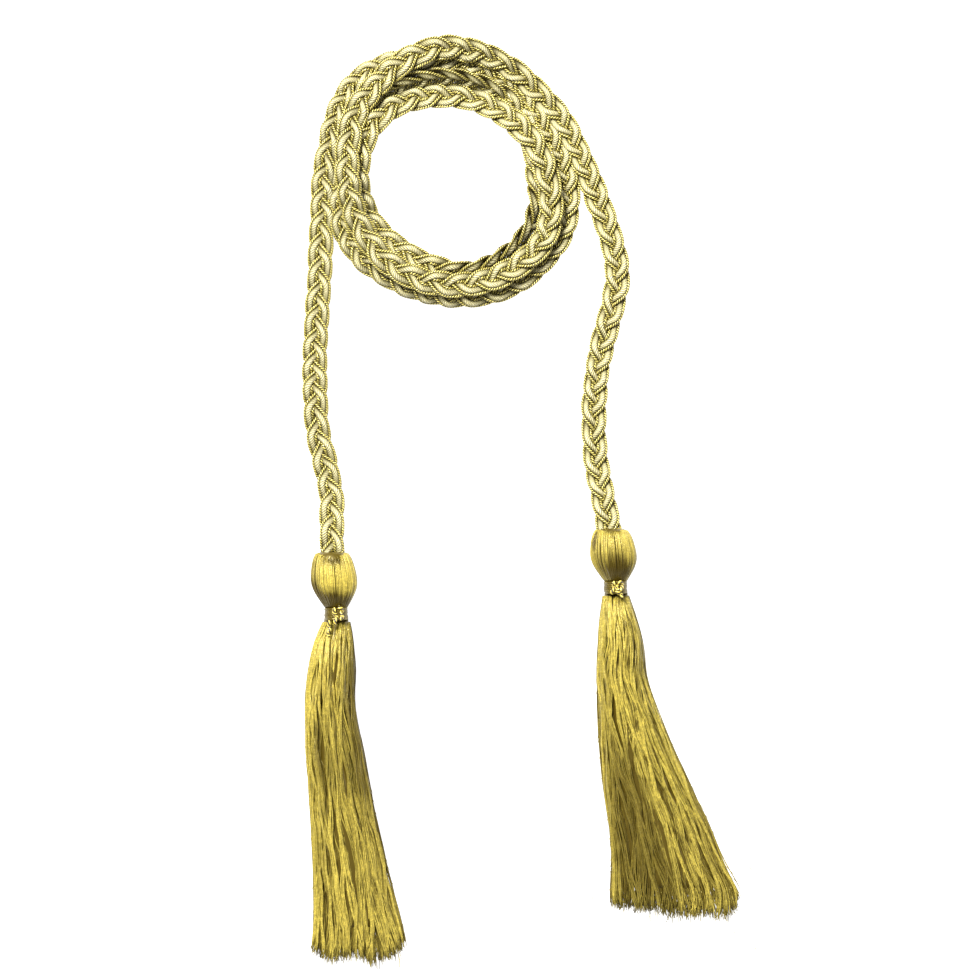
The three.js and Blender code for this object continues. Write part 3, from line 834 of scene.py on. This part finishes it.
class BraidSilk(bpy.types.Operator):
    """Make the silk cords of the three strands, over a ribbon painted in full shade inside the plait"""

    bl_idname = "waist_cord.braid_silk"
    bl_label = "Silk of the braid"

    def execute(self, context):
        settings = context.scene.waist_cord_braid
        skin = Skin()
        size = (settings.silk_width, settings.silk_height)
        section = oval(12, settings.silk_height / settings.silk_width)
        for strand in range(STRANDS):
            # each silk cord takes painted shade where it dives under the others and where the braid lies on
            # edge
            line, deep = lane_line(settings, strand, 0.0, SILK_STEP, *size, BULGE)
            right, _ = lane_line(settings, strand, settings.gimp_lane, SILK_STEP, *size)
            left, _ = lane_line(settings, strand, -settings.gimp_lane, SILK_STEP, *size)
            radius = settings.silk_width / 2 * (1 + 0.07 * waves(strand + 40, np.arange(len(line)), 30.0))
            skin.tube(line, section, radius, deep, 0.0, right - left)
        along = np.arange(0.0, ROUTE.length, 2 * SILK_STEP)
        middle, side = ROUTE.read(ROUTE.middle, along), ROUTE.read(ROUTE.side, along)
        # the ribbon inside the plait takes full painted shade
        skin.tube(middle, oval(8, HEART_FLATNESS), HEART / 2, 1.0, 0.0, side)
        piece = skin.piece("braid_silk", silk_paint(settings), "braid_silk")
        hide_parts("braid_left_leg", "braid_coil", "braid_right_leg")
        return {"FINISHED"}


class BraidGimp(bpy.types.Operator):
    """Make the gold gimp that edges the three strands"""

    bl_idname = "waist_cord.braid_gimp"
    bl_label = "Gimp of the braid"

    def execute(self, context):
        settings = context.scene.waist_cord_braid
        paint = twisted_paint("twisted_gimp", settings.gold, GIMP_METAL)
        radius, pitch = settings.gimp_radius, settings.gimp_pitch
        section = two_ply(8, GIMP_PINCH)
        for strand in range(STRANDS):
            skin = Skin()
            for lane in (-settings.gimp_lane, settings.gimp_lane):
                # each gimp cord takes painted shade where it dives under the others and where the braid lies
                # on edge
                line, deep = lane_line(settings, strand, lane, pitch / GIMP_STEPS, 2 * radius, 2 * radius)
                skin.tube(line, section, radius, deep, twist_of(line, pitch))
            skin.piece(f"braid_gimp_{strand + 1}", paint, "gold_gimp")
        return {"FINISHED"}


class DeclareCord(bpy.types.Operator):
    """Stands for stating the braid's length, width and route, but does nothing"""

    bl_idname = "waist_cord.declare_cord"
    bl_label = "Length of the cord"

    def execute(self, context):
        return {"FINISHED"}


# The tassels
FLATTENED = 0.0004  # how far a head is pressed flat where it lies
GOLDEN_SHARE = 0.618034  # steps of this share of a span cover it evenly
LOCK_SWAY = 0.1  # how far a lock swings to each side in its long waves, as a share of the skirt's half
LOCK_CRIMP = 0.0006  # how far it swings in its short waves, in metres
THREAD_CRIMP = 0.00034  # how far a thread strays from its lock, in metres
THREAD_POINTS = 34  # points down a thread of a skirt
SKIRT_ROUNDING = 0.85  # how much thinner a skirt is at its sides, from 0 to 1
CORE_WIDTH = 0.9  # the skirt's inner body, painted in full shade, as a share of its width
CORE_END = 0.9  # how far down the skirt it reaches, as a share of the length
CORE_TUCK = 0.02  # how far up into the neck it reaches
CORE_MIDDLE = 0.42  # where its middle lies, and how far it reaches up and down, as a share of the height
FRAY_WIDTH = 0.45  # radius of a loose end, as a share of a thread's
STRAY_WIDTH = 0.4
HEM_START = 0.93  # where the ends of the threads begin to spread and lighten
HEM_LENGTH = 0.07
HEAD_POINTS = 18  # points down a thread of a head
HEAD_END = 1.06  # how far down the threads of a head reach, under the neck's binding
HEAD_INSET = 0.001  # how far the body of a head, painted in near full shade, lies under its threads
NECK_LIFT = 0.0016  # how far a neck lies off the floor


def skirt_place(tassel, settings, side, share, down):
    """A place in the skirt: side from -1 to 1 across it, and share from 0 at the floor to 1 at its top."""
    half = tassel.spread * between(tassel.outline, "half", down)
    middle = tassel.x + tassel.lean + tassel.spread * between(tassel.outline, "middle", down)
    high = settings.skirt_height * between(SKIRT_THICKNESS, "high", down)
    low = settings.thread_radius
    x = middle + side * half
    y = tassel.y - tassel.head_length - settings.neck_length - tassel.skirt_length * down
    rounding = np.sqrt(np.clip(1 - SKIRT_ROUNDING * side**2, 0.02, 1))
    z = low + (high - 2 * low) * share * rounding
    return np.stack([x, np.broadcast_to(y, x.shape), z], axis=-1)


def shade_at(shades, side, down):
    total = np.zeros_like(down)
    for shade in shades:
        near = ((side - shade.across) / shade.wide) ** 2 + ((down - shade.down) / shade.long) ** 2
        total += shade.amount * np.exp(-near)
    return total


def skirt_core(tassel, settings):
    """The inner body of the skirt, painted in full shade, which the locks cover."""
    angle = 2 * np.pi * np.arange(24) / 24
    side = CORE_WIDTH * np.cos(angle)
    share = CORE_MIDDLE + CORE_MIDDLE * np.sin(angle)
    rings = []
    for down in np.linspace(-CORE_TUCK, CORE_END, 30):
        ring = skirt_place(tassel, settings, side, share, max(down, 0.0))
        ring[:, 1] -= tassel.skirt_length * min(down, 0)
        rings.append(ring)
    return rings


def crimp(random, down, fewest, most, reach):
    """A wave down a lock or a thread, at most as wide as its reach."""
    turn = 2 * np.pi * (random.uniform(fewest, most) * down + random.uniform())
    return random.uniform(0.4, 1.0) * reach * np.sin(turn)


def near_hem(reach):
    """How far into the hem a place is, from 0 to 1."""
    return np.clip((reach - HEM_START) / HEM_LENGTH, 0, 1)


def skirt_threads(skin, tassel, settings, random):
    """Locks of threads, from the floor upwards, which sway across each other and end unevenly."""
    down = np.linspace(0.0, 1.0, THREAD_POINTS)
    half = tassel.spread * between(tassel.outline, "half", down)
    for layer in LAYERS:
        for lock in range(layer.locks):
            middle = 1.96 * ((lock * GOLDEN_SHARE) % 1) - 0.98 + random.uniform(-0.16, 0.16) * (down - 0.5)
            middle = middle + crimp(random, down, 0.8, 2.6, LOCK_SWAY)
            swing = crimp(random, down, 3.5, 6.5, LOCK_CRIMP)
            wide = layer.wide * random.uniform(0.6, 1.3)
            lift = 0.05 * np.sin(3 * np.pi * down + lock) + crimp(random, down, 5.0, 9.0, 0.06)
            height = random.uniform(layer.low, layer.high) + lift
            # the lower layers are painted in shade where the locks above cover them, and the tone also
            # differs at random from lock to lock
            tone = layer.tone + random.uniform(-0.25, 0.2)
            for _ in range(layer.threads):
                spot = random.uniform(0, 2 * np.pi)
                out = random.uniform(0, 1) ** 0.5
                own = crimp(random, down, 2.0, 4.0, THREAD_CRIMP)
                own = own + crimp(random, down, 5.0, 9.0, THREAD_CRIMP)
                side = middle + wide * out * np.cos(spot) + (swing + own) / half
                side = 1.05 * side / (1 + np.abs(side) ** 8) ** 0.125
                share = np.clip(height + 0.06 * out * np.sin(spot), 0.0, 1.0)
                hem = between(tassel.hem, "reach", side[-1])
                reach = down * hem * (1 + random.normal(0, 0.008) - abs(random.normal(0, 0.016)))
                side = side + 0.04 * near_hem(reach) ** 2 * random.normal(0, 1)
                line = skirt_place(tassel, settings, side, share, reach)
                # painted glints and shade that vary at random from thread to thread and along each one
                glints = 0.2 * random.normal(0, 1)
                glints = glints + 0.34 * waves(random.integers(1 << 30), down, 0.12, 3)
                # painted shade and light in patches over the skirt
                shade = np.clip(shade_at(tassel.shades, side, reach), -0.78, 0.4)
                # painted light on the skirt's sides, lifting the shade where the threads turn down to the
                # floor
                edge = 0.25 * np.clip((np.abs(side) - 0.8) / 0.2, 0, 1)
                tones = np.clip((tone + glints + edge) * (1 + shade) + 0.3 * near_hem(reach), 0.0, 1.0)
                radius = settings.thread_radius * random.uniform(0.7, 1.15) * np.where(down < 1, 1, 0.6)
                skin.tube(line, circle(3), radius, tones, random.uniform(0, 2))


def fray_threads(skin, tassel, settings, random):
    """Thin loose ends that stand off the skirt's edges and its hem."""
    ahead = np.linspace(0.0, 1.0, 7)
    for fray in range(settings.frays):
        at_end = fray % 2
        edge = random.choice((-1.0, 1.0))
        start = random.uniform(0.88, 0.95) if at_end else random.uniform(0.15, 0.9)
        side = random.uniform(-1, 1) if at_end else edge * random.uniform(0.85, 0.98)
        hem = between(tassel.hem, "reach", side)
        down = start * hem + random.uniform(0.06, 0.11) * ahead
        across = side + (side if at_end else edge) * random.uniform(0.0, 0.16) * ahead**2
        line = skirt_place(tassel, settings, across, 0.75 - 0.5 * ahead, down)
        skin.tube(line, circle(3), settings.thread_radius * FRAY_WIDTH, random.uniform(0.5, 0.95))


def stray_threads(skin, tassel, settings, strays):
    """Single threads that leave the skirt and come down to the floor."""
    top = tassel.y - tassel.head_length - settings.neck_length
    for points in strays:
        line = smooth_curve([(tassel.x + tassel.lean + x, top - y, 0.0) for x, y in points], 6)
        line[:, 2] = np.linspace(0.003, settings.thread_radius, len(line))
        skin.tube(line, circle(4), settings.thread_radius * STRAY_WIDTH, 0.9)


class TasselSkirts(bpy.types.Operator):
    """Make the skirt of loose threads of each tassel"""

    bl_idname = "waist_cord.tassel_skirts"
    bl_label = "Skirts of the tassels"

    def execute(self, context):
        settings = context.scene.waist_cord_tassel
        paint = thread_paint(settings)
        for seed, side in enumerate(SIDES):
            tassel = TASSELS[side]
            skin = Skin()
            # the skirt's inner body is painted in full shade
            loft(skin, skirt_core(tassel, settings), 0.0)
            random = np.random.default_rng(70 + seed)
            skirt_threads(skin, tassel, settings, random)
            fray_threads(skin, tassel, settings, random)
            stray_threads(skin, tassel, settings, STRAYS[side])
            piece = skin.piece(f"tassel_skirt_{side}", paint, "tassel_thread")
            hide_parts(f"tassel_{side}")
        return {"FINISHED"}


def loft(skin, rings, tone):
    """A closed skin through rings of points, each with as many points."""
    rings = np.asarray(rings)
    count, sides = rings.shape[:2]
    i, j = np.meshgrid(np.arange(count - 1), np.arange(sides), indexing="ij")
    k = (j + 1) % sides
    quads = np.stack([i * sides + j, i * sides + k, (i + 1) * sides + k, (i + 1) * sides + j], axis=-1)
    ends = np.array([np.arange(sides)[::-1], (count - 1) * sides + np.arange(sides)])
    blocks = [(quads.reshape(-1, 4), np.zeros((quads.size // 4, 4, 2))), (ends, np.zeros((2, sides, 2)))]
    skin.add(rings.reshape(-1, 3), blocks, tone)


def head_point(tassel, settings, angle, down, inset=0.0):
    """A point of the head's surface at an angle round it, with 90 degrees on top."""
    share = between(HEAD_PROFILE, "half", down)
    across = share * settings.head_width - inset
    deep = share * settings.head_height - inset
    x = tassel.x + tassel.lean * down + across * np.cos(angle)
    y = tassel.y - tassel.head_length * down
    neck_z = settings.neck_width / 2 + NECK_LIFT
    centre = settings.head_height / 2 - FLATTENED
    fall = np.clip((down - 0.8) / 0.25, 0, 1)
    z = centre + (neck_z - centre) * fall + deep * np.sin(angle)
    return np.stack([x, y, np.maximum(z, settings.thread_radius)], axis=-1)


class TasselHeads(bpy.types.Operator):
    """Make the bulb-shaped head of each tassel from threads folded over the braid's end"""

    bl_idname = "waist_cord.tassel_heads"
    bl_label = "Heads of the tassels"

    def execute(self, context):
        settings = context.scene.waist_cord_tassel
        paint = thread_paint(settings)
        for seed, side in enumerate(SIDES):
            tassel = TASSELS[side]
            skin = Skin()
            angles = 2 * np.pi * np.arange(32) / 32
            core = []
            for down in np.linspace(0.02, 1.05, 22):
                core.append(head_point(tassel, settings, angles, np.full(32, down), HEAD_INSET))
            # the head's body is painted in near full shade, to show dark between its threads and in the notch
            loft(skin, core, 0.03)
            random = np.random.default_rng(90 + seed)
            for thread in range(settings.head_threads):
                angle = 2 * np.pi * (thread + random.uniform(-0.6, 0.6)) / settings.head_threads
                facing = np.clip(np.sin(angle), 0, 1) ** 4
                start = 0.01 + tassel.notch * facing * random.uniform(0.25, 1.05) + 0.01 * random.normal(0, 1)
                down = start + (HEAD_END - start) * np.linspace(0, 1, HEAD_POINTS) ** 1.3
                turned = angle + random.normal(0, 0.02) + 0.04 * np.sin(np.pi * down) * random.normal(0, 1)
                fold = 0.004 * np.exp(-(((down - start) / 0.03) ** 2))
                inset = settings.thread_radius * random.uniform(0.2, 1.4) + fold
                line = head_point(tassel, settings, turned, down, inset)
                # painted shade and light in patches over the head
                shade = shade_at(tassel.head_shades, np.cos(angle), down + random.normal(0, 0.04))
                # painted glints and shade that vary at random from thread to thread and along each one
                glints = 0.12 * random.normal(0, 1)
                glints = glints + 0.07 * waves(random.integers(1 << 30), down, 0.5, 3)
                # painted shade in the hollow where the threads part round the braid
                notch_shade = 0.9 * np.exp(-(((down - tassel.notch) / 0.07) ** 2)) * facing * tassel.notch / 0.18
                tone = 0.92 + glints + shade - notch_shade
                skin.tube(line, circle(4), settings.thread_radius * 0.85, np.clip(tone, 0.0, 1), 0.3)
            piece = skin.piece(f"tassel_head_{side}", paint, "tassel_thread")
            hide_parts(f"tassel_{side}")
        return {"FINISHED"}


# The necks
WRAPS = 6
WRAP_STEPS = 26  # steps in each turn round the neck
WRAP_RADIUS = 0.00062
KNOT_RADIUS = 0.00084
KNOT_PITCH = 0.0032  # length of one full twist of the knotted cord
KNOT_PINCH = 0.32  # how deep its waist is, as a share of its radius
KNOT_LIFT = 0.001  # how far the knots lie outside the turns


class NeckBindings(bpy.types.Operator):
    """Wind the cord round each neck and knot it in front"""

    bl_idname = "waist_cord.neck_bindings"
    bl_label = "Bindings of the necks"

    def execute(self, context):
        settings = context.scene.waist_cord_tassel
        paint = thread_paint(settings)
        knot_paint = twisted_paint("twisted_thread", rgba(settings.thread, 1.5), 0.0)
        for side in SIDES:
            tassel = TASSELS[side]
            low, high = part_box(f"neck_binding_{side}")
            middle = (low + high) / 2
            turn = np.linspace(0, 2 * np.pi * WRAPS, WRAPS * WRAP_STEPS)
            radius = (high.x - low.x) / 2 - 2 * WRAP_RADIUS
            y = high.y - WRAP_RADIUS - (high.y - low.y - 2 * WRAP_RADIUS) * turn / turn[-1]
            uneven = radius + 0.0002 * waves(5, turn, 9.0)
            x, z = middle.x + uneven * np.cos(turn), middle.z + uneven * np.sin(turn)
            line = np.stack([x, y, z], axis=1)
            skin = Skin()
            # painted shade: the wraps take tones near full shade, darker on their left side and lighter on
            # their right, and uneven along them
            tones = 0.05 + 0.05 * np.cos(turn) + 0.08 * waves(6, turn, 4.0)
            skin.tube(line, circle(6), WRAP_RADIUS, np.clip(tones, 0.0, 1.0))
            piece = skin.piece(f"neck_wrap_{side}", paint, "tassel_thread")
            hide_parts(f"neck_binding_{side}")
            knot = Skin()
            top = tassel.y - tassel.head_length
            for points in KNOTS[side]:
                line = smooth_curve([(middle.x + x, top - y, 0.0) for x, y in points], 8)
                lift = np.sqrt(np.clip((radius + KNOT_LIFT) ** 2 - (line[:, 0] - middle.x) ** 2, 0, None))
                line[:, 2] = middle.z + lift + 0.0003 * np.sin(np.arange(len(line)) / 3)
                knot.tube(line, two_ply(8, KNOT_PINCH), KNOT_RADIUS, 0.0, twist_of(line, KNOT_PITCH))
            piece = knot.piece(f"neck_knot_{side}", knot_paint, "tassel_thread")
            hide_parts(f"neck_binding_{side}")
        return {"FINISHED"}


# The stage: each light's name, its place from the middle of the picture, and its size across
Light = namedtuple("Light", "name x y z size")
LIGHTS = table(
    Light,
    ("key", -0.9, 1.5, 2.4, 1.0),
    ("fill", 1.6, -0.6, 1.8, 1.6),
)
FLOOR_HALF = 4.0  # half the floor's width


class Stage(bpy.types.Operator):
    """Make the floor, the lights and the camera"""

    bl_idname = "waist_cord.stage"
    bl_label = "Floor, lights and camera"

    def light(self, light, centre, power):
        data = bpy.data.lights.new(light.name, "AREA")
        data.shape = "DISK"
        data.size = light.size
        data.energy = power
        made = bpy.data.objects.new(light.name, data)
        made.location = centre + Vector((light.x, light.y, light.z))
        made.rotation_euler = (centre - made.location).to_track_quat("-Z", "Y").to_euler()
        show(made)

    def camera(self, centre):
        data = bpy.data.cameras.new("camera")
        data.sensor_width = SENSOR_MM
        data.lens = SENSOR_MM * CAMERA_HEIGHT / (PHOTO_PIXELS * PIXEL)
        data.clip_end = 10.0
        made = bpy.data.objects.new("camera", data)
        made.location = (centre.x, centre.y, CAMERA_HEIGHT)
        show(made)
        bpy.context.scene.camera = made

    def floor(self, settings):
        mesh = bpy.data.meshes.new("floor")
        corners = [(-FLOOR_HALF, -FLOOR_HALF, 0), (FLOOR_HALF, -FLOOR_HALF, 0)]
        corners += [(FLOOR_HALF, FLOOR_HALF, 0), (-FLOOR_HALF, FLOOR_HALF, 0)]
        mesh.from_pydata(corners, [], [(0, 1, 2, 3)])
        made = bpy.data.objects.new("floor", mesh)
        paint = Paint("pale_floor")
        paint.surface(Base_Color=rgba(settings.floor), Roughness=0.9, Specular_IOR_Level=0.1)
        paint.surface(Emission_Color=rgba((1, 1, 1)), Emission_Strength=settings.floor_glow)
        mesh.materials.append(paint.material)
        show(made)

    def execute(self, context):
        settings = context.scene.waist_cord_stage
        middle = PHOTO_PIXELS / 2
        centre = Vector(((middle - ORIGIN_PIXEL[0]) * PIXEL, (ORIGIN_PIXEL[1] - middle) * PIXEL, 0.0))
        self.camera(centre)
        self.floor(settings)
        for light in LIGHTS:
            self.light(light, centre, getattr(settings, light.name))
        world = bpy.data.worlds.new("surround")
        world.use_nodes = True
        background = world.node_tree.nodes["Background"]
        background.inputs["Color"].default_value = (1, 1, 1, 1)
        background.inputs["Strength"].default_value = settings.surround
        context.scene.world = world
        context.scene.view_settings.view_transform = "Standard"
        return {"FINISHED"}


class Panel(bpy.types.Panel):
    """The pieces of the waist cord and their sizes and colours"""

    bl_idname = "VIEW3D_PT_waist_cord"
    bl_label = "Waist cord"
    bl_space_type = "VIEW_3D"
    bl_region_type = "UI"
    bl_category = "Waist cord"

    def draw(self, context):
        for group in SETTINGS:
            settings = getattr(context.scene, group)
            box = self.layout.box()
            for name in settings.bl_rna.properties.keys():
                if name not in ("rna_type", "name"):
                    box.prop(settings, name)
        for operator in OPERATORS:
            self.layout.operator(operator.bl_idname)


SETTINGS = {
    "waist_cord_braid": BraidSettings,
    "waist_cord_tassel": TasselSettings,
    "waist_cord_stage": StageSettings,
}
OPERATORS = [Stage, BraidSilk, BraidGimp, DeclareCord, TasselHeads, TasselSkirts, NeckBindings]


def register():
    for made in [*SETTINGS.values(), *OPERATORS, Panel]:
        bpy.utils.register_class(made)
    for name, group in SETTINGS.items():
        setattr(bpy.types.Scene, name, bpy.props.PointerProperty(type=group))


def unregister():
    for name in SETTINGS:
        delattr(bpy.types.Scene, name)
    for made in reversed([*SETTINGS.values(), *OPERATORS, Panel]):
        bpy.utils.unregister_class(made)


def main():
    register()
    for operator in OPERATORS:
        group, name = operator.bl_idname.split(".")
        getattr(getattr(bpy.ops, group), name)()


if __name__ == "__main__":
    main()
